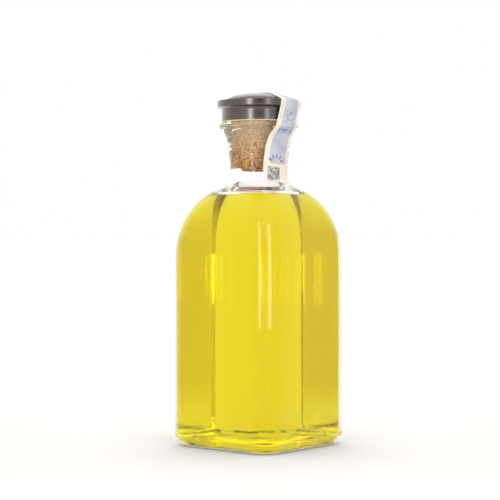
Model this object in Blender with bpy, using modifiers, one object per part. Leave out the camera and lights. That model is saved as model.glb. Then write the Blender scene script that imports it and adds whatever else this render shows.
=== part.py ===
"""Square glass liqueur bottle, filled, shut with a metal-headed cork and a paper seal strip.

The bottle stands on the XY plane with its axis on Z and its flat faces along X and Y.
All lengths are in metres.
"""
import math

import bmesh
import bpy
from mathutils import Vector

MM = 0.001
FIT_GAP = 0.3 * MM

# Glass body: a square with rounded upright corners
BODY_HALF = 41.0 * MM
BODY_CORNER_R = 13.5 * MM
WALL = 4.0 * MM
HEEL_INSET = 7.0 * MM
HEEL_HEIGHT = 5.8 * MM
RING_INNER_HALF = 29.5 * MM
PUSH_UP_HEIGHT = 4.5 * MM
FLOOR_Z = 4.0 * MM
FLOOR_CENTRE_Z = 8.0 * MM
FLOOR_CORNER_R = 5.0 * MM

# Shoulder: the faces and the corners follow two ellipses that meet in a circle
SHOULDER_Z = 116.4 * MM
SHOULDER_RISE = 46.0 * MM
FACE_ELLIPSE_CENTRE = 18.07 * MM
CORNER_ELLIPSE_CENTRE = 12.9 * MM
SHOULDER_TOP_R = 23.5 * MM
THROAT_TOP_R = 20.0 * MM

# Neck and flared lip
NECK_R = 18.2 * MM
NECK_WIDEN_Z = 174.0 * MM
NECK_TOP_R = 19.8 * MM
NECK_TOP_Z = 190.6 * MM
LIP_UNDER_R = 20.4 * MM
LIP_UNDER_Z = 192.7 * MM
LIP_R = 24.8 * MM
LIP_ROUND = 2.2 * MM
LIP_TOP_Z = 201.4 * MM
BORE_R = 11.4 * MM

# Drink
DRINK_LEVEL_Z = 154.2 * MM

# Stopper: cork shank under a polished metal head
CORK_BOTTOM_Z = 171.5 * MM
CORK_CHAMFER = 1.2 * MM
HEAD_BOTTOM_Z = LIP_TOP_Z + FIT_GAP
SKIRT_R = 23.2 * MM
SKIRT_TOP_Z = 208.6 * MM
RIM_R = 26.1 * MM
RIM_BOTTOM_Z = 210.8 * MM
RIM_TOP_Z = 215.0 * MM
RIM_ROUND = 0.5 * MM
DOME_R = 20.8 * MM
DOME_HEIGHT = 4.9 * MM

# Paper seal strip; angles are measured anticlockwise from +X
STRIP_WIDTH = 20.0 * MM
STRIP_THICKNESS = 0.3 * MM
STRIP_FRONT_RIM_DEG = 3.5
STRIP_LIP_DEG = -1.5
STRIP_CREASE_DEG = -5.5
STRIP_NECK_DEG = -9.5
STRIP_END_DEG = -12.0
STRIP_FRONT_END_Z = 163.9 * MM
STRIP_BACK_DEG = 141.0
STRIP_BACK_END_Z = 180.0 * MM

FACE_STEPS = 6
CORNER_STEPS = 6
SHOULDER_STEPS = 15
FILLET_STEPS = 6
TURN_STEPS = 48
STRIP_COLUMNS = 8


def clear_scene():
    for old in list(bpy.data.objects):
        bpy.data.objects.remove(old, do_unlink=True)


def make_collection(name):
    group = bpy.data.collections.new(name)
    bpy.context.scene.collection.children.link(group)
    return group


def make_material(name, colour, roughness, metallic=0.0, transmission=0.0, ior=1.5):
    material = bpy.data.materials.new(name)
    material.use_nodes = True
    shader = material.node_tree.nodes["Principled BSDF"]
    shader.inputs["Base Color"].default_value = (*colour, 1.0)
    shader.inputs["Roughness"].default_value = roughness
    shader.inputs["Metallic"].default_value = metallic
    shader.inputs["Transmission Weight"].default_value = transmission
    shader.inputs["IOR"].default_value = ior
    return material


def add_object(name, mesh, material, group):
    made = bpy.data.objects.new(name, mesh)
    made.data.materials.append(material)
    group.objects.link(made)
    return made


def section_angles():
    """Angles around the axis that sample the flat faces and the rounded corners of the body evenly."""
    flat_half = math.atan2(BODY_HALF - BODY_CORNER_R, BODY_HALF)
    corner_centre = BODY_HALF - BODY_CORNER_R
    quarter = []
    for i in range(FACE_STEPS):
        quarter.append(-flat_half + 2.0 * flat_half * i / FACE_STEPS)
    for i in range(CORNER_STEPS):
        turn = 0.5 * math.pi * i / CORNER_STEPS
        x = corner_centre + BODY_CORNER_R * math.cos(turn)
        y = corner_centre + BODY_CORNER_R * math.sin(turn)
        quarter.append(math.atan2(y, x))
    return [angle + 0.5 * math.pi * side for side in range(4) for angle in quarter]


def section_reach(angle, half, corner_r):
    """Distance from the axis to a rounded square at one angle."""
    folded = abs((angle + 0.25 * math.pi) % (0.5 * math.pi) - 0.25 * math.pi)
    inner = half - corner_r
    if half * math.tan(folded) <= inner:
        return half / math.cos(folded)
    along = inner * (math.cos(folded) + math.sin(folded))
    return along + math.sqrt(max(along * along - 2.0 * inner * inner + corner_r * corner_r, 0.0))


def loft(name, sections, bottom_z, top_z):
    """Closed skin through (half, corner_r, z) sections, with a pole on the axis at each end."""
    angles = section_angles()
    mesh = bpy.data.meshes.new(name)
    bm = bmesh.new()
    rings = []
    for half, corner_r, z in sections:
        ring = []
        for angle in angles:
            reach = section_reach(angle, half, corner_r)
            ring.append(bm.verts.new((reach * math.cos(angle), reach * math.sin(angle), z)))
        rings.append(ring)
    count = len(angles)
    first = bm.verts.new((0.0, 0.0, bottom_z))
    last = bm.verts.new((0.0, 0.0, top_z))
    for i in range(count):
        after = (i + 1) % count
        bm.faces.new((first, rings[0][after], rings[0][i]))
        bm.faces.new((last, rings[-1][i], rings[-1][after]))
        for lower, upper in zip(rings, rings[1:]):
            bm.faces.new((lower[i], lower[after], upper[after], upper[i]))
    bmesh.ops.recalc_face_normals(bm, faces=bm.faces)
    bm.to_mesh(mesh)
    bm.free()
    return mesh


def corner_r_from_diagonal(half, diagonal):
    """Corner radius of the rounded square with this half width and half diagonal."""
    if diagonal <= half:
        return half
    return min(half, (half * math.sqrt(2.0) - diagonal) / (math.sqrt(2.0) - 1.0))


def shoulder_section(turn, inset):
    """Shoulder section at an ellipse angle; inset is how far it lies inside the outer skin."""
    corner_centre = BODY_HALF - BODY_CORNER_R
    half_diagonal = corner_centre * math.sqrt(2.0) + BODY_CORNER_R
    face_span = BODY_HALF - FACE_ELLIPSE_CENTRE - inset
    corner_span = half_diagonal - CORNER_ELLIPSE_CENTRE - inset
    half = FACE_ELLIPSE_CENTRE + face_span * math.cos(turn)
    diagonal = CORNER_ELLIPSE_CENTRE + corner_span * math.cos(turn)
    half = min(half, diagonal)
    z = SHOULDER_Z + (SHOULDER_RISE - inset) * math.sin(turn)
    return half, corner_r_from_diagonal(half, diagonal), z


def shoulder_end_turn(end_r, inset):
    corner_centre = BODY_HALF - BODY_CORNER_R
    corner_span = corner_centre * math.sqrt(2.0) + BODY_CORNER_R - CORNER_ELLIPSE_CENTRE - inset
    return math.acos((end_r - CORNER_ELLIPSE_CENTRE) / corner_span)


def fillet_rings(end_r, upright_r, inset):
    """Hollow curve that leads the shoulder's end into an upright wall."""
    turn = shoulder_end_turn(end_r, inset)
    corner_centre = BODY_HALF - BODY_CORNER_R
    corner_span = corner_centre * math.sqrt(2.0) + BODY_CORNER_R - CORNER_ELLIPSE_CENTRE - inset
    rise_span = SHOULDER_RISE - inset
    slope = math.atan2(rise_span * math.cos(turn), corner_span * math.sin(turn))
    radius = (end_r - upright_r) / (1.0 - math.sin(slope))
    end_z = shoulder_section(turn, inset)[2]
    centre_r = upright_r + radius
    centre_z = end_z + radius * math.cos(slope)
    rings = []
    for i in range(1, FILLET_STEPS + 1):
        angle = slope + (0.5 * math.pi - slope) * i / FILLET_STEPS
        ring_r = centre_r - radius * math.sin(angle)
        rings.append((ring_r, ring_r, centre_z - radius * math.cos(angle)))
    return rings


def neck_outer_r(z):
    """Outer radius of the glass above the shoulder."""
    if z >= LIP_UNDER_Z:
        rise = (z - LIP_UNDER_Z) / (LIP_TOP_Z - LIP_ROUND - LIP_UNDER_Z)
        return min(LIP_R, LIP_UNDER_R + (LIP_R - LIP_UNDER_R) * rise)
    if z >= NECK_TOP_Z:
        rise = (z - NECK_TOP_Z) / (LIP_UNDER_Z - NECK_TOP_Z)
        return NECK_TOP_R + (LIP_UNDER_R - NECK_TOP_R) * rise
    if z >= NECK_WIDEN_Z:
        rise = (z - NECK_WIDEN_Z) / (NECK_TOP_Z - NECK_WIDEN_Z)
        return NECK_R + (NECK_TOP_R - NECK_R) * rise ** 1.5
    fillet = fillet_rings(SHOULDER_TOP_R, NECK_R, 0.0)
    for lower, upper in zip(fillet, fillet[1:]):
        if lower[2] <= z <= upper[2]:
            part = (z - lower[2]) / (upper[2] - lower[2])
            return lower[0] + (upper[0] - lower[0]) * part
    return NECK_R


def outer_sections():
    """Outer skin from the push-up in the base to the top of the lip."""
    sections = []
    for part in (0.35, 0.7, 0.9):
        half = RING_INNER_HALF * part
        z = PUSH_UP_HEIGHT * (1.0 - part ** 3)
        sections.append((half, half * 0.6, z))
    ring_half = BODY_HALF - HEEL_INSET
    ring_corner = BODY_CORNER_R - HEEL_INSET
    sections.append((RING_INNER_HALF, RING_INNER_HALF * 0.4, 0.0))
    sections.append((ring_half, ring_corner, 0.0))
    for part in (0.06, 0.9):
        inset = HEEL_INSET * (1.0 - part)
        sections.append((BODY_HALF - inset, BODY_CORNER_R - inset, HEEL_HEIGHT * (part - 0.03)))
    soft = HEEL_INSET * 0.03
    sections.append((BODY_HALF - soft, BODY_CORNER_R - soft, HEEL_HEIGHT * 1.05))
    sections.append((BODY_HALF, BODY_CORNER_R, HEEL_HEIGHT * 1.3))
    end_turn = shoulder_end_turn(SHOULDER_TOP_R, 0.0)
    for i in range(SHOULDER_STEPS + 1):
        sections.append(shoulder_section(end_turn * i / SHOULDER_STEPS, 0.0))
    sections.extend(fillet_rings(SHOULDER_TOP_R, NECK_R, 0.0))
    for part in (0.0, 0.35, 0.7, 1.0):
        z = NECK_WIDEN_Z + (NECK_TOP_Z - NECK_WIDEN_Z) * part
        sections.append((neck_outer_r(z), neck_outer_r(z), z))
    sections.append((LIP_UNDER_R, LIP_UNDER_R, LIP_UNDER_Z))
    for i in range(6):
        angle = math.radians(-38.0 + 128.0 * i / 5)
        ring_r = LIP_R - LIP_ROUND + LIP_ROUND * math.cos(angle)
        z = LIP_TOP_Z - LIP_ROUND + LIP_ROUND * math.sin(angle)
        sections.append((ring_r, ring_r, z))
    return sections


def cavity_sections(gap, top_z):
    """Inner skin from the floor up to top_z, drawn in by a gap."""
    inset = WALL + gap
    half = BODY_HALF - inset
    corner = BODY_CORNER_R - inset
    floor_half = half - FLOOR_CORNER_R
    sections = []
    for part in (0.4, 0.75, 1.0):
        z = FLOOR_Z + (FLOOR_CENTRE_Z - FLOOR_Z) * (1.0 - part ** 2) + gap
        sections.append((floor_half * part, floor_half * part * 0.5, z))
    for i in range(1, 5):
        angle = 0.5 * math.pi * i / 4
        reach = floor_half + FLOOR_CORNER_R * math.sin(angle)
        z = FLOOR_Z + gap + FLOOR_CORNER_R * (1.0 - math.cos(angle))
        blend = reach - floor_half
        corner_r = floor_half * 0.5 + (corner - floor_half * 0.5) * blend / FLOOR_CORNER_R
        sections.append((reach, corner_r, z))
    end_turn = shoulder_end_turn(THROAT_TOP_R, inset)
    if top_z < SHOULDER_Z + SHOULDER_RISE - inset:
        end_turn = min(end_turn, math.asin((top_z - SHOULDER_Z) / (SHOULDER_RISE - inset)))
    for i in range(SHOULDER_STEPS + 1):
        sections.append(shoulder_section(end_turn * i / SHOULDER_STEPS, inset))
    return sections


def bottle_mesh():
    inner = cavity_sections(0.0, LIP_TOP_Z)
    inner.extend(fillet_rings(THROAT_TOP_R, BORE_R, WALL))
    mouth = [
        (BORE_R + 0.6 * MM, BORE_R + 0.6 * MM, LIP_TOP_Z),
        (BORE_R, BORE_R, LIP_TOP_Z - 0.6 * MM),
    ]
    sections = outer_sections() + mouth + list(reversed(inner))
    return loft("bottle_glass", sections, PUSH_UP_HEIGHT, FLOOR_CENTRE_Z)


def drink_mesh():
    sections = cavity_sections(FIT_GAP, DRINK_LEVEL_Z)
    return loft("liqueur", sections, FLOOR_CENTRE_Z + FIT_GAP, DRINK_LEVEL_Z)


def turned(name, profile, material, group):
    """Solid of revolution from a profile that runs down its outer side."""
    mesh = bpy.data.meshes.new(name)
    bm = bmesh.new()
    points = [bm.verts.new((r, 0.0, z)) for r, z in profile]
    for upper, lower in zip(points, points[1:]):
        bm.edges.new((upper, lower))
    bm.to_mesh(mesh)
    bm.free()
    made = add_object(name, mesh, material, group)
    spin = made.modifiers.new("turn", "SCREW")
    spin.axis = "Z"
    spin.angle = 2.0 * math.pi
    spin.steps = TURN_STEPS
    spin.render_steps = TURN_STEPS
    spin.use_merge_vertices = True
    spin.merge_threshold = 0.00001
    spin.use_normal_calculate = True
    return made


def head_profile():
    profile = []
    for i in range(7):
        angle = 0.5 * math.pi * i / 6
        profile.append((DOME_R * math.sin(angle), RIM_TOP_Z + DOME_HEIGHT * math.cos(angle)))
    for i in range(4):
        angle = 0.5 * math.pi * i / 3
        r = RIM_R - RIM_ROUND + RIM_ROUND * math.sin(angle)
        profile.append((r, RIM_TOP_Z - RIM_ROUND + RIM_ROUND * math.cos(angle)))
    for i in range(4):
        angle = 0.5 * math.pi * i / 3
        r = RIM_R - RIM_ROUND + RIM_ROUND * math.cos(angle)
        profile.append((r, RIM_BOTTOM_Z + RIM_ROUND - RIM_ROUND * math.sin(angle)))
    cove = RIM_BOTTOM_Z - SKIRT_TOP_Z
    for i in range(5):
        angle = 0.5 * math.pi * i / 4
        r = SKIRT_R + cove - cove * math.sin(angle)
        profile.append((r, SKIRT_TOP_Z + cove * math.cos(angle)))
    profile.append((SKIRT_R, HEAD_BOTTOM_Z + RIM_ROUND))
    profile.append((SKIRT_R - RIM_ROUND, HEAD_BOTTOM_Z))
    profile.append((0.0, HEAD_BOTTOM_Z))
    return profile


def cork_profile():
    cork_r = BORE_R - FIT_GAP
    top = HEAD_BOTTOM_Z - FIT_GAP
    return [
        (0.0, top),
        (cork_r, top),
        (cork_r, CORK_BOTTOM_Z + CORK_CHAMFER),
        (cork_r - CORK_CHAMFER, CORK_BOTTOM_Z),
        (0.0, CORK_BOTTOM_Z),
    ]


def around(angle_deg, offset, r, z):
    """Point at a sideways offset round a circle from an angle."""
    angle = math.radians(angle_deg) + offset / r
    return Vector((r * math.cos(angle), r * math.sin(angle), z))


def head_height(x, y):
    """Height the paper must clear over the head."""
    away = math.hypot(x, y)
    if away >= DOME_R:
        return RIM_TOP_Z
    return RIM_TOP_Z + DOME_HEIGHT * math.sqrt(1.0 - (away / DOME_R) ** 2)


def drawn_tight(start, end, count):
    """Points from start to end over the head, as a tight paper edge would lie."""
    places = []
    for i in range(41):
        spot = start.lerp(end, i / 40)
        height = start.z
        if 0 < i < 40:
            height = max(start.z, head_height(spot.x, spot.y) + 1.4 * FIT_GAP)
        places.append((i / 40, height))
    hull = []
    for place in places:
        while len(hull) > 1:
            (s0, z0), (s1, z1) = hull[-2], hull[-1]
            if (z1 - z0) * (place[0] - s0) > (place[1] - z0) * (s1 - s0):
                break
            hull.pop()
        hull.append(place)
    points = []
    for i in range(1, count):
        s = i / count
        for (s0, z0), (s1, z1) in zip(hull, hull[1:]):
            if s0 <= s <= s1:
                spot = start.lerp(end, s)
                spot.z = z0 + (z1 - z0) * (s - s0) / (s1 - s0)
                points.append(spot)
                break
    return points


def strip_line(offset):
    """One lengthwise line of the strip, from its front end over the head to its back end."""
    front = [
        (STRIP_END_DEG, STRIP_FRONT_END_Z),
        (STRIP_END_DEG + 0.3, 165.5 * MM),
        (STRIP_END_DEG + 0.8, 168.0 * MM),
        (STRIP_NECK_DEG - 0.5, 178.0 * MM),
        (STRIP_NECK_DEG + 1.0, 186.0 * MM),
        (STRIP_CREASE_DEG - 1.0, NECK_TOP_Z),
        (STRIP_CREASE_DEG, LIP_UNDER_Z),
    ]
    points = [around(deg, offset, neck_outer_r(z) + 1.5 * FIT_GAP, z) for deg, z in front]
    lip_z = LIP_TOP_Z - LIP_ROUND
    clear = 1.2 * FIT_GAP
    points.append(around(STRIP_LIP_DEG - 0.5, offset, LIP_R + clear, lip_z - 0.9 * MM))
    points.append(around(STRIP_LIP_DEG, offset, LIP_R + clear, lip_z + 0.4 * MM))
    points.append(around(STRIP_FRONT_RIM_DEG - 1.0, offset, RIM_R + clear, RIM_BOTTOM_Z + RIM_ROUND))
    points.append(around(STRIP_FRONT_RIM_DEG, offset, RIM_R + clear, RIM_TOP_Z))
    over_z = RIM_TOP_Z + clear
    start = around(STRIP_FRONT_RIM_DEG, offset, RIM_R, over_z)
    end = around(STRIP_BACK_DEG, -offset, RIM_R, over_z)
    points.append(start)
    points.extend(drawn_tight(start, end, 12))
    points.append(end)
    points.append(around(STRIP_BACK_DEG, -offset, RIM_R + clear, RIM_TOP_Z))
    points.append(around(STRIP_BACK_DEG, -offset, RIM_R + clear, RIM_BOTTOM_Z + RIM_ROUND))
    points.append(around(STRIP_BACK_DEG, -offset, LIP_R + clear, lip_z + 0.4 * MM))
    points.append(around(STRIP_BACK_DEG, -offset, LIP_R + clear, lip_z - 0.9 * MM))
    for z in (LIP_UNDER_Z, NECK_TOP_Z, 186.0 * MM, STRIP_BACK_END_Z):
        points.append(around(STRIP_BACK_DEG, -offset, neck_outer_r(z) + 1.5 * FIT_GAP, z))
    return points


def add_strip(material, group):
    mesh = bpy.data.meshes.new("seal_strip")
    bm = bmesh.new()
    lines = []
    for i in range(STRIP_COLUMNS + 1):
        offset = STRIP_WIDTH * (i / STRIP_COLUMNS - 0.5)
        lines.append([bm.verts.new(point) for point in strip_line(offset)])
    for left, right in zip(lines, lines[1:]):
        for i in range(len(left) - 1):
            bm.faces.new((left[i], right[i], right[i + 1], left[i + 1]))
    bm.to_mesh(mesh)
    bm.free()
    made = add_object("seal_strip", mesh, material, group)
    thicken = made.modifiers.new("paper", "SOLIDIFY")
    thicken.thickness = STRIP_THICKNESS
    thicken.offset = 1.0
    return made


def build():
    clear_scene()
    group = make_collection("liqueur_bottle")
    glass = make_material("clear_glass", (0.95, 0.97, 0.96), 0.03, transmission=1.0, ior=1.52)
    drink = make_material("yellow_liqueur", (0.85, 0.72, 0.05), 0.03, transmission=1.0, ior=1.36)
    cork = make_material("natural_cork", (0.55, 0.35, 0.18), 0.85)
    metal = make_material("dark_polished_metal", (0.16, 0.14, 0.135), 0.2, metallic=1.0)
    paper = make_material("printed_paper", (0.82, 0.78, 0.70), 0.7)
    add_object("bottle_glass", bottle_mesh(), glass, group)
    add_object("liqueur", drink_mesh(), drink, group)
    turned("cork", cork_profile(), cork, group)
    turned("stopper_cap", head_profile(), metal, group)
    add_strip(paper, group)


build()
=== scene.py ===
import math

import bmesh
import bpy
from mathutils import Matrix, Vector, noise


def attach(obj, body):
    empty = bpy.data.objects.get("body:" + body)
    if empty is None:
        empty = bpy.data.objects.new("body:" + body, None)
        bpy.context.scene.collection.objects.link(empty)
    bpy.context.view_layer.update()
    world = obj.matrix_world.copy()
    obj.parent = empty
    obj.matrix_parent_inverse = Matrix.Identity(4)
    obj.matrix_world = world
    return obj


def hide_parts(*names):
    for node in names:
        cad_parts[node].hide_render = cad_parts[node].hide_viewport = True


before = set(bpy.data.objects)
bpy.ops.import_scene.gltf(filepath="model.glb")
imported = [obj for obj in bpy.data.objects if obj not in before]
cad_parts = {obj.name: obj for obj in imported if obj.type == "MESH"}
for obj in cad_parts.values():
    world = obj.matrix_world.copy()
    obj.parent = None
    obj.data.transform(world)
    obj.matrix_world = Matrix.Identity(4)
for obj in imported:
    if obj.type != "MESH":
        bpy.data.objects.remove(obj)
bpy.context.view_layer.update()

# Bottle glass.
# A square flint-glass flask blown in a mould: flat sides, round upright corners, domed shoulders,
# a short neck and a flared lip. The outer skin is true to the mould, the inner one a little wavy.
MM = 0.001
body_half = 41.0 * MM
body_corner = 13.5 * MM
wall = 4.0 * MM
corner_middle = body_half - body_corner
body_diagonal = corner_middle * math.sqrt(2.0) + body_corner
shoulder_z = 116.4 * MM
shoulder_rise = 46.0 * MM
face_middle = 18.07 * MM
diagonal_middle = 12.9 * MM
shoulder_end_r = 23.5 * MM
throat_r = 20.0 * MM
neck_r = 18.2 * MM
neck_widens_z = 174.0 * MM
bore_r = 11.4 * MM
lip_r = 24.8 * MM
lip_top = 201.4 * MM
lip_under_z = 192.7 * MM
lip_under_r = 20.4 * MM
lip_flare = 0.72
neck_top_z = 190.6 * MM
neck_top_r = 19.8 * MM
collar_flare = 0.286
drink_level = 154.2 * MM
around_steps = 256
# The floor, the heel and the ring it stands on, in plain millimetres.
floor_edge = 4.0
floor_bend = 5.0
floor_crown = 4.0
heel_inset = 7.0
heel_height = 5.8
ring_inner = 29.5
push_up = 4.5


def square_reach(angle, half, corner):
    """How far a rounded square reaches from the axis at an angle."""
    folded = abs((angle + math.pi / 4) % (math.pi / 2) - math.pi / 4)
    inner = half - corner
    if half * math.tan(folded) <= inner:
        return half / math.cos(folded)
    along = inner * (math.cos(folded) + math.sin(folded))
    return along + math.sqrt(max(along * along - 2.0 * inner * inner + corner * corner, 0.0))


def shoulder_ring(turn, inset):
    """Shoulder section at an ellipse angle: half width, corner radius, height."""
    half = face_middle + (body_half - face_middle - inset) * math.cos(turn)
    diagonal = diagonal_middle + (body_diagonal - diagonal_middle - inset) * math.cos(turn)
    half = min(half, diagonal)
    corner = min(half, (half * math.sqrt(2.0) - diagonal) / (math.sqrt(2.0) - 1.0))
    return half, corner, shoulder_z + (shoulder_rise - inset) * math.sin(turn)


def shoulder_rings(end_r, upright_r, inset, top=1.0):
    """Shoulder from its spring line to end_r, then a hollow curve into an upright wall."""
    span = body_diagonal - diagonal_middle - inset
    rise = shoulder_rise - inset
    end = math.acos((end_r - diagonal_middle) / span)
    if top < shoulder_z + rise * math.sin(end):
        end = math.asin((top - shoulder_z) / rise)
        return [shoulder_ring(end * i / 48, inset) for i in range(49)]
    rings = [shoulder_ring(end * i / 48, inset) for i in range(49)]
    slope = math.atan2(rise * math.cos(end), span * math.sin(end))
    radius = (end_r - upright_r) / (1.0 - math.sin(slope))
    end_z = rings[-1][2] + radius * math.cos(slope)
    for i in range(1, 17):
        angle = slope + (math.pi / 2 - slope) * i / 16
        r = upright_r + radius - radius * math.sin(angle)
        rings.append((r, r, end_z - radius * math.cos(angle)))
    return rings


def softened(points, steps=6):
    """A path through (x, z, radius) points with its corners turned to arcs."""
    path = [points[0][:2]]
    for before, here, after in zip(points, points[1:], points[2:]):
        a = Vector(before[:2]) - Vector(here[:2])
        b = Vector(after[:2]) - Vector(here[:2])
        reach = min(here[2] / math.tan(a.angle(b) / 2), a.length * 0.49, b.length * 0.49)
        start = Vector(here[:2]) + a.normalized() * reach
        finish = Vector(here[:2]) + b.normalized() * reach
        for i in range(steps + 1):
            t = i / steps
            spot = start.lerp(Vector(here[:2]), t).lerp(Vector(here[:2]).lerp(finish, t), t)
            path.append((spot.x, spot.y))
    path.append(points[-1][:2])
    return path


def neck_reach(z):
    """Outer radius of the glass from the neck's foot to the lip."""
    if z > lip_under_z:
        return min(lip_r, lip_under_r + lip_flare * (z - lip_under_z))
    if z > neck_top_z:
        return neck_top_r + collar_flare * (z - neck_top_z)
    if z > neck_widens_z:
        share = (z - neck_widens_z) / (neck_top_z - neck_widens_z)
        return neck_r + (neck_top_r - neck_r) * share**1.5
    foot = shoulder_rings(shoulder_end_r, neck_r, 0.0)
    for low, high in zip(foot, foot[1:]):
        if low[2] <= z <= high[2]:
            return low[0] + (high[0] - low[0]) * (z - low[2]) / (high[2] - low[2])
    return neck_r


def outer_rings():
    """Outer skin from the middle of the pushed-up base to the inside of the lip."""
    half = body_half / MM
    path = [(ring_inner * p, push_up * (1.0 - p**3)) for p in (0.0, 0.1, 0.25, 0.4, 0.55, 0.7, 0.82, 0.92)]
    heel = [(*path[-1], 0.0), (ring_inner, 0.0, 1.2), (half - heel_inset, 0.0, 1.6)]
    heel += [(half, heel_height, 3.0), (half, 14.0, 0.0)]
    path += softened(heel, 8)[1:]
    rings = []
    for x, z in path:
        corner = x * 0.4 if x < ring_inner + 0.5 else body_corner / MM - (half - x)
        rings.append((x * MM, corner * MM, z * MM))
    rings += shoulder_rings(shoulder_end_r, neck_r, 0.0)
    for i in range(1, 19):
        z = rings[-1][2] + (neck_top_z - rings[-1][2]) * (1.0 / (19 - i))
        rings.append((neck_reach(z), neck_reach(z), z))
    lip = [(neck_reach(188.0 * MM), 188.0 * MM, 0.0), (19.9 * MM, 190.7 * MM, 0.6 * MM)]
    lip += [(20.5 * MM, 192.8 * MM, 0.7 * MM), (lip_r + 0.5 * MM, 199.1 * MM, 2.6 * MM)]
    lip += [(23.2 * MM, lip_top, 1.2 * MM), (bore_r, lip_top, 1.2 * MM), (bore_r, 196.0 * MM, 0.0)]
    while rings[-1][2] > 187.0 * MM:
        rings.pop()
    rings += [(x, x, z) for x, z in softened(lip, 8)]
    return rings


def cavity_rings(inset, top=1.0):
    """Inner skin from the middle of the floor upwards."""
    half = (body_half - inset) / MM
    middle = corner_middle / MM
    lift = floor_edge - (wall - inset) / MM
    flat = half - floor_bend
    rings = []
    for p in (0.0, 0.12, 0.3, 0.5, 0.7, 0.86, 1.0):
        rings.append((flat * p * MM, flat * p * 0.5 * MM, (lift + floor_crown * (1.0 - p * p)) * MM))
    for i in range(1, 13):
        angle = math.pi / 2 * i / 12
        share = math.sin(angle)
        corner = flat * 0.5 * (1.0 - share) + (half - middle) * share
        height = lift + floor_bend * (1.0 - math.cos(angle))
        rings.append(((flat + floor_bend * share) * MM, corner * MM, height * MM))
    for i in range(1, 25):
        z = rings[-1][2] + (shoulder_z - rings[-1][2]) / (26 - i)
        rings.append((half * MM, (half - middle) * MM, z))
    return rings + shoulder_rings(throat_r, bore_r, inset, top)


def waviness(angle, z):
    """Slow unevenness of the inner wall, in metres."""
    spot = Vector((2.2 * math.cos(angle), 2.2 * math.sin(angle), z * 12.0))
    fade = min(1.0, max(0.0, (z - 0.008) / 0.02)) * min(1.0, max(0.0, (0.165 - z) / 0.02))
    return 0.16 * MM * noise.noise(spot) * fade


def blown(name, rings, wavy_from):
    """Turns a wire of rings round the axis, then blows each ring out to its own section."""
    bm = bmesh.new()
    ring_of = bm.verts.layers.int.new("ring")
    wet = bm.verts.layers.float.new("wet")
    wire = []
    for i, (half, corner, z) in enumerate(rings):
        vert = bm.verts.new((half, 0.0, z))
        vert[ring_of] = i
        wire.append(vert)
    edges = [bm.edges.new(pair) for pair in zip(wire, wire[1:])]
    bmesh.ops.spin(
        bm,
        geom=wire + edges,
        cent=(0, 0, 0),
        axis=(0, 0, 1),
        angle=2 * math.pi,
        steps=around_steps,
        use_merge=True,
    )
    for vert in bm.verts:
        half, corner, z = rings[vert[ring_of]]
        if half < 1e-7:
            continue
        angle = math.atan2(vert.co.y, vert.co.x)
        angle += 0.15 * math.sin(4.0 * angle)
        reach = square_reach(angle, half, corner)
        if vert[ring_of] >= wavy_from:
            reach += waviness(angle, z)
        vert.co = (reach * math.cos(angle), reach * math.sin(angle), z)
        vert[wet] = 1.0 if vert[ring_of] >= wavy_from and z < drink_level else 0.0
    bmesh.ops.remove_doubles(bm, verts=bm.verts, dist=1e-6)
    bmesh.ops.recalc_face_normals(bm, faces=bm.faces)
    return shown(name, bm)


def shown(name, bm):
    """Makes the finished mesh a smooth-shaded object that rides with the bottle."""
    mesh = bpy.data.meshes.new(name)
    for face in bm.faces:
        face.smooth = True
    bm.to_mesh(mesh)
    bm.free()
    piece = bpy.data.objects.new(name, mesh)
    bpy.context.scene.collection.objects.link(piece)
    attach(piece, "root")
    return piece


def start_material(name):
    """A new material, its node tree and its shader."""
    material = bpy.data.materials.new(name)
    material.use_nodes = True
    return material, material.node_tree, material.node_tree.nodes["Principled BSDF"]


def add_node(tree, kind, **settings):
    """A new node; a setting that names a socket fills it, any other is the node's own."""
    node = tree.nodes.new(kind)
    for key, value in settings.items():
        if key in node.inputs:
            node.inputs[key].default_value = value
        else:
            setattr(node, key, value)
    return node


skin = outer_rings()
cavity = cavity_rings(wall)
glass = blown("glass_bottle", skin + cavity[::-1], len(skin))
flint, tree, shader = start_material("flint_glass")
shader.inputs["Base Color"].default_value = (1.0, 1.0, 1.0, 1.0)
shader.inputs["Roughness"].default_value = 0.0
shader.inputs["IOR"].default_value = 1.52
shader.inputs["Transmission Weight"].default_value = 1.0
place = add_node(tree, "ShaderNodeTexCoord")
ripple = add_node(tree, "ShaderNodeTexNoise", Scale=60.0, Detail=1.0)
bump = add_node(tree, "ShaderNodeBump", Strength=0.02, Distance=0.0005)
tree.links.new(place.outputs["Object"], ripple.inputs["Vector"])
tree.links.new(ripple.outputs["Fac"], bump.inputs["Height"])
tree.links.new(bump.outputs["Normal"], shader.inputs["Normal"])
# Where the drink wets the glass the two hardly differ, so that skin mirrors next to nothing.
wetness = add_node(tree, "ShaderNodeAttribute", attribute_name="wet")
dry_sheen = (0.52, 0.52, 0.52, 1.0)
wet_sheen = (0.02, 0.02, 0.02, 1.0)
sheen = add_node(tree, "ShaderNodeMix", data_type="RGBA")
sheen.inputs[6].default_value = dry_sheen
sheen.inputs[7].default_value = wet_sheen
tree.links.new(wetness.outputs["Fac"], sheen.inputs[0])
tree.links.new(sheen.outputs[2], shader.inputs["Specular Tint"])
tint = add_node(tree, "ShaderNodeVolumeAbsorption", Color=(0.90, 0.96, 0.93, 1.0), Density=8.0)
tree.links.new(tint.outputs["Volume"], tree.nodes["Material Output"].inputs["Volume"])
glass.data.materials.append(flint)
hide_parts("bottle_glass")

# Bearing studs.
# Small glass studs moulded in one row round the edge of the base, where the flask stands. They
# keep the hot glass off the conveyor and show as a beaded edge under the heel.
stud_half = body_half - 6.0 * MM
stud_corner = body_corner - 6.0 * MM
stud_pitch = 1.9 * MM
stud_rise = 0.9 * MM
stud_size = Matrix.Diagonal((1.2 * MM, 0.72 * MM, stud_rise, 1.0))


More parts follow.
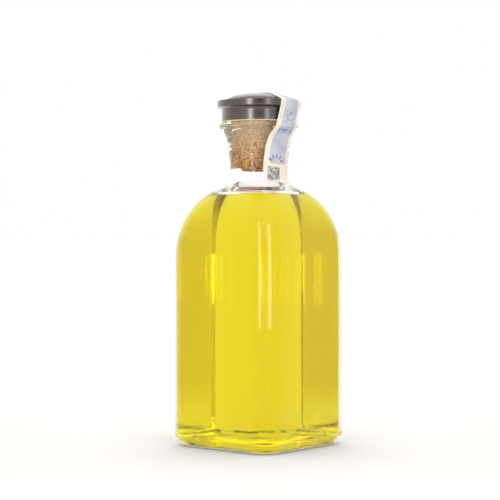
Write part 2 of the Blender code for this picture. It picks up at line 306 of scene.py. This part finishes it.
def along_square(distance, half, corner):
    """Place and facing at a distance along a rounded square."""
    inner = half - corner
    side, rest = divmod(distance, 2.0 * inner + corner * math.pi / 2)
    turn = Matrix.Rotation(side * math.pi / 2, 4, "Z")
    if rest < 2.0 * inner:
        return turn @ Matrix.Translation((half, rest - inner, 0.0))
    facing = (rest - 2.0 * inner) / corner
    spot = (inner + corner * math.cos(facing), inner + corner * math.sin(facing), 0.0)
    return turn @ Matrix.Translation(spot) @ Matrix.Rotation(facing, 4, "Z")


bm = bmesh.new()
stud_way = 8.0 * (stud_half - stud_corner) + 2.0 * math.pi * stud_corner
stud_count = round(stud_way / stud_pitch)
for i in range(stud_count):
    seat = along_square(stud_way * i / stud_count, stud_half, stud_corner)
    seat = Matrix.Translation((0.0, 0.0, stud_rise)) @ seat
    bmesh.ops.create_icosphere(bm, subdivisions=2, radius=1.0, matrix=seat @ stud_size)
studs = shown("bearing_studs", bm)
studs.data.materials.append(flint)

# Liqueur.
# Clear bright yellow drink that fills the flask to just under the neck. It wets the glass, so its
# skin reaches a hair into the wall, and its surface climbs a little where it meets the glass.
drink_inset = wall - 0.15 * MM
climb = 0.9 * MM
drink_rings = cavity_rings(drink_inset, drink_level + climb)
edge_half, edge_corner, edge_z = drink_rings[-1]
for part, drop in ((0.985, 0.45), (0.965, 0.7), (0.94, 0.84)):
    drink_rings.append((edge_half * part, edge_corner * part, edge_z - drop * MM))
for part in (0.9, 0.6, 0.3, 0.0):
    drink_rings.append((edge_half * part, edge_corner * part, edge_z - climb))
drink = blown("liqueur_fill", drink_rings, 0)
liqueur, tree, shader = start_material("yellow_liqueur")
shader.inputs["Base Color"].default_value = (1.0, 1.0, 1.0, 1.0)
shader.inputs["Roughness"].default_value = 0.0
shader.inputs["IOR"].default_value = 1.36
shader.inputs["Transmission Weight"].default_value = 1.0
dye = add_node(tree, "ShaderNodeVolumeAbsorption", Color=(0.955, 0.921, 0.0, 1.0), Density=70.0)
tree.links.new(dye.outputs["Volume"], tree.nodes["Material Output"].inputs["Volume"])
shader.inputs["Specular Tint"].default_value = (0.05, 0.05, 0.05, 1.0)
drink.data.materials.append(liqueur)
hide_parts("liqueur")

# Cork.
# Natural cork shank of the stopper, pressed tight into the neck. It is punched from bark, sanded
# and chamfered at its foot, and its flesh is warm tan with specks and dark pores. Towards the top
# the flesh is painted paler and less speckled: painted light where the lip glass brightens it.
cork_foot = 171.5 * MM
cork_top = lip_top + 0.1 * MM
cork_r = bore_r + 0.05 * MM
cork_chamfer = 1.2 * MM


def turned(name, path, steps=128):
    """Spins an open (radius, height) path that starts and ends on the axis."""
    bm = bmesh.new()
    wire = [bm.verts.new((r, 0.0, z)) for r, z in path]
    edges = [bm.edges.new(pair) for pair in zip(wire, wire[1:])]
    bmesh.ops.spin(
        bm,
        geom=wire + edges,
        cent=(0, 0, 0),
        axis=(0, 0, 1),
        angle=2 * math.pi,
        steps=steps,
        use_merge=True,
    )
    bmesh.ops.remove_doubles(bm, verts=bm.verts, dist=1e-6)
    bmesh.ops.recalc_face_normals(bm, faces=bm.faces)
    return shown(name, bm)


def maths(tree, operation, *values):
    """Output of a maths node whose values are numbers or other outputs."""
    node = add_node(tree, "ShaderNodeMath", operation=operation)
    for socket, value in zip(node.inputs, values):
        if isinstance(value, (int, float)):
            socket.default_value = value
        else:
            tree.links.new(value, socket)
    return node.outputs["Value"]


def share_of(tree, value, start, finish):
    """Ramp from 0 at start to 1 at finish."""
    node = add_node(tree, "ShaderNodeMapRange", interpolation_type="SMOOTHSTEP")
    node.inputs["From Min"].default_value = start
    node.inputs["From Max"].default_value = finish
    tree.links.new(value, node.inputs["Value"])
    return node.outputs["Result"]


def laid_over(tree, share, under, over):
    """Colour `over` laid on colour `under` by a share."""
    mix = add_node(tree, "ShaderNodeMix", data_type="RGBA")
    tree.links.new(share, mix.inputs[0])
    for socket, colour in ((mix.inputs[6], under), (mix.inputs[7], over)):
        if isinstance(colour, tuple):
            socket.default_value = (*colour, 1.0)
        else:
            tree.links.new(colour, socket)
    return mix.outputs[2]


cork_path = [(0.0, cork_top, 0.0), (cork_r, cork_top, 0.3 * MM)]
cork_path += [(cork_r, cork_foot + cork_chamfer, 1.0 * MM)]
cork_path += [(cork_r - cork_chamfer, cork_foot, 0.5 * MM), (0.0, cork_foot, 0.0)]
cork = turned("cork_shank", softened(cork_path))
bark, tree, shader = start_material("natural_cork")
shader.inputs["Roughness"].default_value = 0.85
place = add_node(tree, "ShaderNodeTexCoord")
split = add_node(tree, "ShaderNodeSeparateXYZ")
tree.links.new(place.outputs["Object"], split.inputs["Vector"])
grain = add_node(tree, "ShaderNodeTexNoise", Scale=850.0, Detail=3.0, Roughness=0.6)
cloud = add_node(tree, "ShaderNodeTexNoise", Scale=170.0, Detail=3.0)
pore = add_node(tree, "ShaderNodeTexVoronoi", Scale=900.0)
for texture in (grain, cloud, pore):
    tree.links.new(place.outputs["Object"], texture.inputs["Vector"])
# Painted light: towards the top the flesh is lightened and its specks and pores are thinned out.
rise = share_of(tree, split.outputs["Z"], cork_foot, cork_foot + 27.0 * MM)
warmth = share_of(tree, cloud.outputs["Fac"], 0.35, 0.65)
flesh = laid_over(tree, warmth, (0.66, 0.29, 0.07), (0.84, 0.49, 0.19))
flesh = laid_over(tree, rise, flesh, (0.80, 0.60, 0.36))
low = maths(tree, "SUBTRACT", 1.0, maths(tree, "MULTIPLY", rise, 0.7))
specks = share_of(tree, grain.outputs["Fac"], 0.50, 0.56)
flesh = laid_over(tree, maths(tree, "MULTIPLY", specks, low), flesh, (0.30, 0.10, 0.02))
holes = share_of(tree, pore.outputs["Distance"], 0.40, 0.20)
patchy = share_of(tree, cloud.outputs["Fac"], 0.58, 0.44)
holes = maths(tree, "MULTIPLY", maths(tree, "MULTIPLY", holes, patchy), low)
flesh = laid_over(tree, holes, flesh, (0.13, 0.05, 0.02))
tree.links.new(flesh, shader.inputs["Base Color"])
dent = add_node(tree, "ShaderNodeBump", Strength=0.6, Distance=0.0003)
tree.links.new(maths(tree, "SUBTRACT", 1.0, holes), dent.inputs["Height"])
tree.links.new(dent.outputs["Normal"], shader.inputs["Normal"])
cork.data.materials.append(bark)
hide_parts("cork")

# Stopper head.
# Cast metal knob that the cork is glued into: a low dome on a flat rim, a cove, and a straight
# skirt that sits on the lip over a thin cream liner. Turned, polished and plated dark warm grey.
head_foot = lip_top + 0.3 * MM
rim_r = 26.1 * MM
rim_foot = 210.8 * MM
rim_top = 215.0 * MM
rim_round = 0.45 * MM
skirt_r = 23.2 * MM
skirt_top = 208.6 * MM
dome_r = 20.8 * MM
dome_rise = 4.9 * MM
head_path = []
for i in range(33):
    angle = math.pi / 2 * i / 32
    head_path.append((dome_r * math.sin(angle), rim_top + dome_rise * math.cos(angle)))
rim = [(dome_r, rim_top, 0.0), (rim_r, rim_top, rim_round), (rim_r, rim_foot, rim_round)]
rim += [(rim_r - 0.9 * MM, rim_foot, 0.2 * MM)]
head_path += softened([*rim, (rim_r - 1.0 * MM, rim_foot - 0.1 * MM, 0.0)])[1:]
cove = rim_foot - skirt_top
for i in range(1, 17):
    angle = math.pi / 2 * i / 16
    head_path.append((skirt_r + cove - cove * math.sin(angle), skirt_top + cove * math.cos(angle)))
skirt = [(skirt_r, skirt_top - 2.6 * MM, 0.0), (skirt_r, head_foot, 0.5 * MM), (0.0, head_foot, 0.0)]
head_path += softened(skirt)
head = turned("stopper_head", head_path, 192)
plating, tree, shader = start_material("dark_polished_metal")
shader.inputs["Coat IOR"].default_value = 1.6
shader.inputs["Coat Roughness"].default_value = 0.2
place = add_node(tree, "ShaderNodeTexCoord")
cloud = add_node(tree, "ShaderNodeTexNoise", Scale=45.0, Detail=3.0)
tone = add_node(tree, "ShaderNodeValToRGB")
tone.color_ramp.elements[0].position = 0.3
tone.color_ramp.elements[0].color = (0.074, 0.058, 0.055, 1.0)
tone.color_ramp.elements[1].position = 0.7
tone.color_ramp.elements[1].color = (0.104, 0.086, 0.082, 1.0)
squeeze = add_node(tree, "ShaderNodeMapping")
squeeze.inputs["Scale"].default_value = (1.0, 1.0, 12.0)
lathe = add_node(tree, "ShaderNodeTexNoise", Scale=160.0, Detail=4.0)
gloss = add_node(tree, "ShaderNodeMapRange")
gloss.inputs["To Min"].default_value = 0.20
gloss.inputs["To Max"].default_value = 0.34
bump = add_node(tree, "ShaderNodeBump", Strength=0.03, Distance=0.0002)
links = tree.links
links.new(place.outputs["Object"], cloud.inputs["Vector"])
links.new(place.outputs["Object"], squeeze.inputs["Vector"])
links.new(squeeze.outputs["Vector"], lathe.inputs["Vector"])
links.new(cloud.outputs["Fac"], tone.inputs["Fac"])
links.new(lathe.outputs["Fac"], gloss.inputs["Value"])
links.new(gloss.outputs["Result"], shader.inputs["Roughness"])
links.new(lathe.outputs["Fac"], bump.inputs["Height"])
links.new(bump.outputs["Normal"], shader.inputs["Normal"])
split = add_node(tree, "ShaderNodeSeparateXYZ")
links.new(place.outputs["Object"], split.inputs["Vector"])
liner_cream = (0.80, 0.68, 0.42)
plated = share_of(tree, split.outputs["Z"], head_foot + 0.5 * MM, head_foot + 0.6 * MM)
links.new(plated, shader.inputs["Metallic"])
links.new(plated, shader.inputs["Coat Weight"])
links.new(laid_over(tree, plated, liner_cream, tone.outputs["Color"]), shader.inputs["Base Color"])
head.data.materials.append(plating)
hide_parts("stopper_cap")

# Seal strip.
# Security-printed paper strip glued from the neck up over the head and down behind. It is drawn
# tight over the rim and the lip, stands clear of the skirt between them and puckers under the lip.
strip_width = 20.0 * MM
strip_rows = 220
strip_columns = 28
clearance = 0.14 * MM
lip_edge_z = 198.6 * MM
lip_crown_z = 199.9 * MM
rear_turn = 141.0
crease_z = 191.5 * MM
crease_reach = 6.0 * MM


def round_axis(degrees, offset, r, z):
    """A place at a turn round the bottle's axis, moved sideways by an offset along the curve."""
    angle = math.radians(degrees) + offset / r
    return Vector((r * math.cos(angle), r * math.sin(angle), z))


def over_head(start, end):
    """The tight line from rim to rim over the dome."""
    places = []
    for i in range(61):
        spot = start.lerp(end, i / 60)
        away = math.hypot(spot.x, spot.y) / dome_r
        dome = rim_top + dome_rise * math.sqrt(max(0.0, 1.0 - away * away)) + 2.0 * clearance
        places.append((i / 60, dome if away < 1.0 and 0 < i < 60 else start.z))
    hull = []
    for place in places:
        while len(hull) > 1:
            (s0, z0), (s1, z1) = hull[-2], hull[-1]
            if (z1 - z0) * (place[0] - s0) > (place[1] - z0) * (s1 - s0):
                break
            hull.pop()
        hull.append(place)
    line = []
    for s, z in hull[1:-1]:
        spot = start.lerp(end, s)
        spot.z = z
        line.append(spot)
    return line


def pucker(offset, z):
    """How far the paper stands off the glass in small creases under the lip."""
    near = max(0.0, 1.0 - abs(z - crease_z) / crease_reach)
    fold = noise.noise(Vector((offset * 330.0, z * 260.0, 3.7)))
    return 0.9 * MM * near * abs(fold) + 0.35 * MM * near


def strip_line(offset):
    """The strip's way up the neck, over the lip and the head and down behind, at a distance across."""
    line = []
    lean = -0.9 * MM * offset / (strip_width / 2)
    front = ((-12.0, 163.9), (-11.7, 165.5), (-11.2, 168.0), (-10.6, 173.0), (-10.0, 178.0))
    front += ((-9.2, 182.0), (-8.5, 186.0), (-7.3, 189.0), (-6.5, 190.6), (-5.5, 192.9))
    for degrees, height in front:
        z = height * MM + lean * (1.0 if height < 180.0 else 0.3)
        line.append(round_axis(degrees, offset, neck_reach(z) + 2.0 * clearance + pucker(offset, z), z))
    for degrees, height in ((-4.6, 194.2), (-3.6, 195.6), (-2.8, 197.0)):
        z = height * MM
        line.append(round_axis(degrees, offset, neck_reach(z) + 2.0 * clearance + pucker(offset, z), z))
    line.append(round_axis(-2.0, offset, lip_r + clearance, lip_edge_z))
    line.append(round_axis(-1.5, offset, lip_r + 1.5 * clearance, lip_crown_z))
    line.append(round_axis(1.0, offset, rim_r - 0.5 * MM, 206.0 * MM))
    line.append(round_axis(2.5, offset, rim_r + clearance, rim_foot + 0.4 * MM))
    line.append(round_axis(3.5, offset, rim_r + clearance, rim_top - 0.3 * MM))
    start = round_axis(3.6, offset, rim_r - 0.2 * MM, rim_top + clearance)
    end = round_axis(rear_turn, -offset, rim_r - 0.2 * MM, rim_top + clearance)
    line += [start, *over_head(start, end), end]
    line.append(round_axis(rear_turn, -offset, rim_r + clearance, rim_top - 0.3 * MM))
    line.append(round_axis(rear_turn, -offset, rim_r + clearance, rim_foot + 0.4 * MM))
    line.append(round_axis(rear_turn, -offset, lip_r + 1.5 * clearance, lip_crown_z))
    line.append(round_axis(rear_turn, -offset, lip_r + clearance, lip_edge_z))
    for height in (192.9, 190.6, 186.0, 180.0):
        line.append(round_axis(rear_turn, -offset, neck_reach(height * MM) + 2.0 * clearance, height * MM))
    return line


def evenly(line, count):
    """Points at even steps along a line, with their distances."""
    marks = [0.0]
    for a, b in zip(line, line[1:]):
        marks.append(marks[-1] + (b - a).length)
    points = []
    k = 0
    for i in range(count + 1):
        goal = marks[-1] * i / count
        while k < len(line) - 2 and marks[k + 1] < goal:
            k += 1
        share = (goal - marks[k]) / (marks[k + 1] - marks[k])
        points.append((line[k].lerp(line[k + 1], min(1.0, share)), goal))
    return points


bm = bmesh.new()
bmesh.ops.create_grid(bm, x_segments=strip_columns, y_segments=strip_rows, size=1.0)
sheet_uv = bm.loops.layers.uv.new("sheet")
columns = []
for i in range(strip_columns + 1):
    columns.append(evenly(strip_line(strip_width * (i / strip_columns - 0.5)), strip_rows))
spots = {}
for vert in bm.verts:
    i = round((vert.co.x + 1.0) / 2.0 * strip_columns)
    j = round((vert.co.y + 1.0) / 2.0 * strip_rows)
    point, run = columns[i][j]
    spots[vert] = (i / strip_columns, run * 10.0)
    vert.co = point
for face in bm.faces:
    for loop in face.loops:
        loop[sheet_uv].uv = spots[loop.vert]
strip = shown("seal_paper", bm)
thicken = strip.modifiers.new("paper", "SOLIDIFY")
thicken.thickness = 0.15 * MM
thicken.offset = 1.0
paper, tree, shader = start_material("printed_paper")
shader.inputs["Roughness"].default_value = 0.6
shader.inputs["Subsurface Weight"].default_value = 0.6
shader.inputs["Subsurface Radius"].default_value = (1.0, 1.0, 1.0)
shader.inputs["Subsurface Scale"].default_value = 0.0004
uv = add_node(tree, "ShaderNodeUVMap", uv_map="sheet")
split = add_node(tree, "ShaderNodeSeparateXYZ")
tree.links.new(uv.outputs["UV"], split.inputs["Vector"])
across = maths(tree, "MULTIPLY", split.outputs["X"], strip_width / MM)
along = maths(tree, "MULTIPLY", split.outputs["Y"], 100.0)


def between(value, low, high, soft=0.12):
    """1 between two limits in millimetres, with soft ends."""
    up = share_of(tree, value, low - soft, low + soft)
    down = share_of(tree, value, high + soft, high - soft)
    return maths(tree, "MULTIPLY", up, down)


def both(first, second):
    """1 where two shares are both 1."""
    return maths(tree, "MULTIPLY", first, second)


def cells(width, length, chance):
    """Scattered printed cells: 1 in a seeded share of a fine net."""
    column = maths(tree, "FLOOR", maths(tree, "DIVIDE", across, width))
    row = maths(tree, "FLOOR", maths(tree, "DIVIDE", along, length))
    join = add_node(tree, "ShaderNodeCombineXYZ")
    tree.links.new(column, join.inputs["X"])
    tree.links.new(row, join.inputs["Y"])
    dice = add_node(tree, "ShaderNodeTexWhiteNoise", noise_dimensions="2D")
    tree.links.new(join.outputs["Vector"], dice.inputs["Vector"])
    return maths(tree, "LESS_THAN", dice.outputs["Value"], chance)


fibre = add_node(tree, "ShaderNodeTexNoise", Scale=1500.0, Detail=3.0)
shade = add_node(tree, "ShaderNodeTexNoise", Scale=110.0, Detail=2.0)
place = add_node(tree, "ShaderNodeTexCoord")
for texture in (fibre, shade):
    tree.links.new(place.outputs["Object"], texture.inputs["Vector"])
cream = laid_over(tree, fibre.outputs["Fac"], (0.92, 0.83, 0.72), (0.83, 0.73, 0.60))
mottle = share_of(tree, shade.outputs["Fac"], 0.35, 0.65)
pale = laid_over(tree, mottle, (0.43, 0.47, 0.58), (0.57, 0.59, 0.65))
split = add_node(tree, "ShaderNodeSeparateXYZ")
tree.links.new(place.outputs["Object"], split.inputs["Vector"])
over_lip = share_of(tree, split.outputs["Z"], 203.4 * MM, 204.2 * MM)
printed = maths(tree, "MAXIMUM", between(along, 12.3, 60.0, 0.4), over_lip)
field = both(between(across, 3.3, 16.7, 0.25), printed)
ink = laid_over(tree, field, cream, pale)
band_blue = (0.22, 0.28, 0.50)
mark_blue = (0.13, 0.18, 0.45)
drop_blue = (0.07, 0.15, 0.42)
fleck_grey = (0.22, 0.20, 0.22)
line_grey = (0.25, 0.26, 0.34)
for low, high in ((31.0, 31.5), (32.2, 34.2), (35.0, 35.4)):
    band = both(between(along, low, high), between(across, 3.6, 16.4))
    ink = laid_over(tree, both(band, cells(0.5, 9.0, 0.8)), ink, band_blue)
marks = both(both(between(along, 38.0, 45.5), between(across, 5.5, 14.5)), cells(0.8, 1.1, 0.24))
ink = laid_over(tree, maths(tree, "MULTIPLY", marks, 0.75), ink, mark_blue)
flecks = both(both(between(across, 0.6, 3.0), between(along, 40.0, 60.0)), cells(0.35, 0.35, 0.10))
ink = laid_over(tree, flecks, ink, fleck_grey)
fan_across = 8.4
fan_along = 11.2
drop_turn = 0.52
dx = maths(tree, "SUBTRACT", across, fan_across)
dy = maths(tree, "SUBTRACT", along, fan_along)
reach = maths(tree, "SQRT", maths(tree, "ADD", both(dx, dx), both(dy, dy)))
lean = maths(tree, "DIVIDE", maths(tree, "ARCTAN2", dx, dy), drop_turn)
off_ray = maths(tree, "ABSOLUTE", maths(tree, "SUBTRACT", lean, maths(tree, "ROUND", lean)))
off_ray = both(maths(tree, "MULTIPLY", off_ray, drop_turn), reach)
middle = maths(tree, "DIVIDE", maths(tree, "SUBTRACT", reach, 4.9), 1.7)
girth = maths(tree, "MULTIPLY", maths(tree, "SUBTRACT", 1.0, both(middle, middle)), 0.60)
drops = both(maths(tree, "LESS_THAN", off_ray, girth), between(lean, -2.5, 2.5, 0.02))
ink = laid_over(tree, maths(tree, "MULTIPLY", drops, 0.85), ink, drop_blue)
fine_line = both(between(along, 11.6, 12.0, 0.08), between(across, 4.0, 14.0))
ink = laid_over(tree, fine_line, ink, line_grey)
speckle = 0.435
block = both(between(across, 2.7, 11.4, 0.02), between(along, 0.9, 9.6, 0.02))
ink = laid_over(tree, block, ink, (0.72, 0.68, 0.64))
ink = laid_over(tree, both(block, cells(speckle, speckle, 0.5)), ink, (0.03, 0.03, 0.035))
tree.links.new(ink, shader.inputs["Base Color"])
tooth = add_node(tree, "ShaderNodeBump", Strength=0.25, Distance=0.0001)
tree.links.new(fibre.outputs["Fac"], tooth.inputs["Height"])
tree.links.new(tooth.outputs["Normal"], shader.inputs["Normal"])
strip.data.materials.append(paper)
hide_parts("seal_strip")

# Studio.
# A pale floor under a white room that is brightest overhead and a little warmer at the sides; off to
# the bottle's sides the floor is darkened to a dull cream as painted shade. Two tall strip lights
# draw the lines on the front corner, and a weaker pair lights the solid pieces.
camera_turn = math.radians(39.8)
camera_side = (math.sin(camera_turn), -math.cos(camera_turn), 0.0)
bm = bmesh.new()
bmesh.ops.create_circle(bm, cap_ends=True, segments=128, radius=30.0)
mesh = bpy.data.meshes.new("studio_floor")
bm.to_mesh(mesh)
bm.free()
floor = bpy.data.objects.new("studio_floor", mesh)
bpy.context.scene.collection.objects.link(floor)
pale, tree, shader = start_material("pale_floor")
shader.inputs["Roughness"].default_value = 0.8
place = add_node(tree, "ShaderNodeTexCoord")
toward = add_node(tree, "ShaderNodeVectorMath", operation="DOT_PRODUCT")
toward.inputs[1].default_value = camera_side
away = add_node(tree, "ShaderNodeVectorMath", operation="LENGTH")
tree.links.new(place.outputs["Object"], toward.inputs[0])
tree.links.new(place.outputs["Object"], away.inputs[0])
lean = maths(tree, "DIVIDE", toward.outputs["Value"], away.outputs["Value"])
# Painted shade: away from the bottle's foot, off to its sides, the floor darkens to a dull cream.
floor_painted_shade_share = maths(tree, "MULTIPLY", share_of(tree, lean, -0.85, -0.1), share_of(tree, lean, 0.95, 0.4))
floor_painted_shade_share = maths(tree, "MULTIPLY", floor_painted_shade_share, share_of(tree, away.outputs["Value"], 0.06, 0.38))
floor_white = (0.90, 0.90, 0.90)
painted_side_shade = (0.70, 0.63, 0.54)
tree.links.new(laid_over(tree, floor_painted_shade_share, floor_white, painted_side_shade), shader.inputs["Base Color"])
floor.data.materials.append(pale)

world = bpy.data.worlds.new("studio")
bpy.context.scene.world = world
world.use_nodes = True
tree = world.node_tree
back = tree.nodes["Background"]
place = add_node(tree, "ShaderNodeTexCoord")
facing = add_node(tree, "ShaderNodeVectorMath", operation="DOT_PRODUCT")
facing.inputs[1].default_value = camera_side
spread = add_node(tree, "ShaderNodeMapRange")
spread.inputs["From Min"].default_value = -1.0
room = add_node(tree, "ShaderNodeValToRGB")
room.color_ramp.elements[0].color = (1.0, 1.0, 1.0, 1.0)
room.color_ramp.elements[1].color = (0.9, 0.9, 0.9, 1.0)
for spot, light, warm in ((0.25, 1.0, 1.0), (0.42, 0.86, 0.82), (0.6, 0.86, 0.82), (0.75, 0.9, 0.9)):
    stop = room.color_ramp.elements.new(spot)
    stop.color = (light, warm, 2.0 * warm - light, 1.0)
height = add_node(tree, "ShaderNodeSeparateXYZ")
above = add_node(tree, "ShaderNodeMapRange", interpolation_type="SMOOTHSTEP")
above.inputs["From Min"].default_value = 0.4
above.inputs["From Max"].default_value = 0.8
above.inputs["To Min"].default_value = 1.0
above.inputs["To Max"].default_value = 1.6
links = tree.links
links.new(place.outputs["Generated"], facing.inputs[0])
links.new(place.outputs["Generated"], height.inputs["Vector"])
links.new(facing.outputs["Value"], spread.inputs["Value"])
links.new(spread.outputs["Result"], room.inputs["Fac"])
# A dim patch behind the camera, a little above the floor, gives the metal head dark reflections.
near_camera = share_of(tree, facing.outputs["Value"], 0.87, 0.93)
over_floor = share_of(tree, height.outputs["Z"], 0.045, 0.065)
dim = maths(tree, "MULTIPLY", near_camera, over_floor)
dim_grey = (0.14, 0.14, 0.14)
links.new(laid_over(tree, dim, room.outputs["Color"], dim_grey), back.inputs["Color"])
links.new(height.outputs["Z"], above.inputs["Value"])
links.new(above.outputs["Result"], back.inputs["Strength"])
glass_only = bpy.data.collections.new("away_from_strips")
for held_back in (floor, head, cork, strip):
    glass_only.objects.link(held_back)
for member in glass_only.collection_objects:
    member.light_linking.link_state = "EXCLUDE"
solid_only = bpy.data.collections.new("stopper_and_paper")
for solid in (head, cork, strip):
    solid_only.objects.link(solid)
light_turn = 25.2
light_distance = 1.25
light_low = 0.01
light_high = 1.45


def soft_light(name, turn, width, power, lit):
    """Upright strip light that faces the bottle, at a turn from the camera's side."""
    lamp = bpy.data.lights.new(name, "AREA")
    lamp.shape = "RECTANGLE"
    lamp.size = width
    lamp.size_y = light_high - light_low
    lamp.energy = power
    holder = bpy.data.objects.new(name, lamp)
    bpy.context.scene.collection.objects.link(holder)
    angle = camera_turn + math.radians(turn)
    direction = Vector((math.sin(angle), -math.cos(angle), 0.0))
    holder.location = direction * light_distance + Vector((0.0, 0.0, (light_low + light_high) / 2))
    holder.rotation_euler = direction.to_track_quat("Z", "Y").to_euler()
    holder.light_linking.receiver_collection = lit


soft_light("strip_left", -light_turn, width=0.28, power=7.4, lit=glass_only)
soft_light("strip_right", light_turn, width=0.40, power=11.0, lit=glass_only)
soft_light("stopper_strip_left", -light_turn, width=0.22, power=6.0, lit=solid_only)
soft_light("stopper_strip_right", light_turn, width=0.22, power=2.9, lit=solid_only)

# Camera.
# Nearly level, a little above the bottle's middle and just under a metre away. The bottle's axis
# stands a few pixels right of the middle of a 500 pixel frame.
frame_pixels = 500.0
focal_pixels = 1552.0
axis_pixel = 258.8
camera_distance = 0.973
camera_height = 0.132
camera_dip = math.radians(0.592)
lens = bpy.data.cameras.new("camera")
lens.sensor_width = 36.0
lens.lens = focal_pixels / frame_pixels * lens.sensor_width
lens.shift_x = -(axis_pixel - frame_pixels / 2) / frame_pixels
lens.clip_start = 0.01
camera = bpy.data.objects.new("camera", lens)
bpy.context.scene.collection.objects.link(camera)
camera.location = Vector(camera_side) * camera_distance + Vector((0.0, 0.0, camera_height))
camera.rotation_euler = (math.pi / 2 - camera_dip, 0.0, camera_turn)
bpy.context.scene.camera = camera
bpy.context.scene.view_settings.view_transform = "Standard"
# Light crosses many skins of glass and drink, so it is followed through many bounces.
paths = bpy.context.scene.cycles
paths.max_bounces = 128
paths.transmission_bounces = 128
paths.glossy_bounces = 128

bpy.context.view_layer.update()
